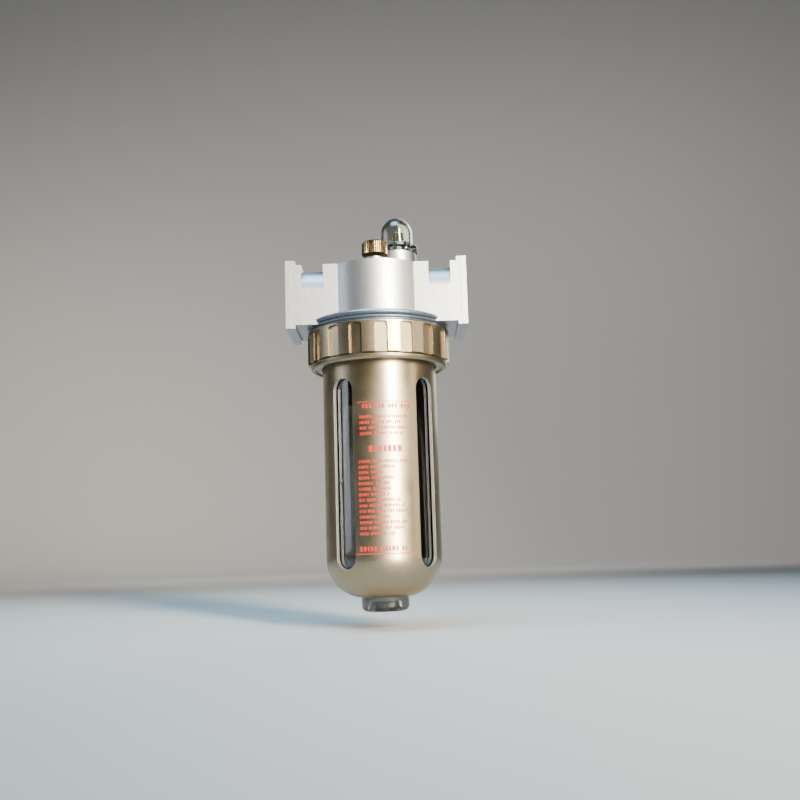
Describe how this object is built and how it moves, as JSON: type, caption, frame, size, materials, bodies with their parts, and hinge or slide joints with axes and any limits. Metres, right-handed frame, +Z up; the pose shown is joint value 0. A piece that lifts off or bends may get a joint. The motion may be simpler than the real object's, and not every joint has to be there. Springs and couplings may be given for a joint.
{
  "type": "air line lubricator",
  "caption": "Modular air-line lubricator: die-cast head with port wings, sight dome, knurled drip-rate screw, and a clear oil bowl in a slotted metal guard held by a fluted ring.",
  "frame": {"origin": "where the pipe line's axis crosses the bowl's axis", "axes": "+X along the air flow, from the inlet face to the outlet face; +Z up, away from the bowl; -Y the front, the side with the drip-rate screw"},
  "size_m": [0.082, 0.0654, 0.1834],
  "materials": {
    "cast_silver": "fine-grained silver paint over a die casting",
    "guard_silver": "warm silver metallic paint, satin",
    "clear_plastic": "clear polycarbonate",
    "brass": "turned, slightly dulled",
    "steel": "zinc-plated or polished",
    "black_rubber": "nitrile rubber",
    "white_plastic": "moulded acetal",
    "grey_plastic": "moulded nylon"
  },
  "bodies": {
    "head": {"head_casting": "cast_silver", "oil_passage_plug": "steel", "vane_pin": "steel", "venturi_insert": "white_plastic", "sight_dome": "clear_plastic", "sight_dome_seal": "black_rubber", "drip_funnel": "white_plastic", "drip_tube": "brass", "needle_gland": "brass", "baffle_plate": "grey_plastic", "baffle_screw_1": "steel", "baffle_screw_2": "steel", "baffle_screw_3": "steel", "siphon_fitting": "brass", "siphon_tube": "clear_plastic", "check_valve_body": "brass", "siphon_strainer": "brass"},
    "bowl_unit": {"bowl": "clear_plastic", "bowl_seal": "black_rubber", "bowl_guard": "guard_silver", "slip_washer": "white_plastic"},
    "ring": {"retaining_ring": "guard_silver"},
    "needle_follower": {"needle_seal": "black_rubber"},
    "drip_screw": {"adjusting_needle": "brass", "adjusting_knob": "brass"},
    "vane": {"damper_vane": "black_rubber"},
    "ball": {"check_ball": "steel"}
  },
  "joints": [
    {"name": "bowl_lowering", "type": "slide", "parent": "head", "child": "bowl_unit", "axis": [0, 0, -1], "range_m": [0, 0.007]},
    {"name": "ring_turn", "type": "hinge", "parent": "bowl_unit", "child": "ring", "pos_m": [0, 0, -0.024], "axis": [0, 0, -1], "range_deg": [0, 1260]},
    {"name": "needle_lift", "type": "slide", "parent": "head", "child": "needle_follower", "axis": [0, 0, 1], "range_m": [-0.0005, 0.001]},
    {"name": "drip_screw_turn", "type": "hinge", "parent": "needle_follower", "child": "drip_screw", "pos_m": [-0.0003, -0.009, 0.022], "axis": [0, 0, 1], "range_deg": [-360, 720]},
    {"name": "vane_swing", "type": "hinge", "parent": "head", "child": "vane", "pos_m": [-0.003, 0, 0.0046], "axis": [0, -1, 0], "range_deg": [0, 40], "stiffness_Nm_per_rad": 0.00002},
    {"name": "ball_lift", "type": "slide", "parent": "head", "child": "ball", "axis": [0, 0, 1], "range_m": [0, 0.0012]}
  ],
  "couplings": [
    {"joint": "bowl_lowering", "follows": "ring_turn", "m_per_rad": 0.00031831},
    {"joint": "drip_screw_turn", "follows": "needle_lift", "rad_per_m": 12566}
  ]
}
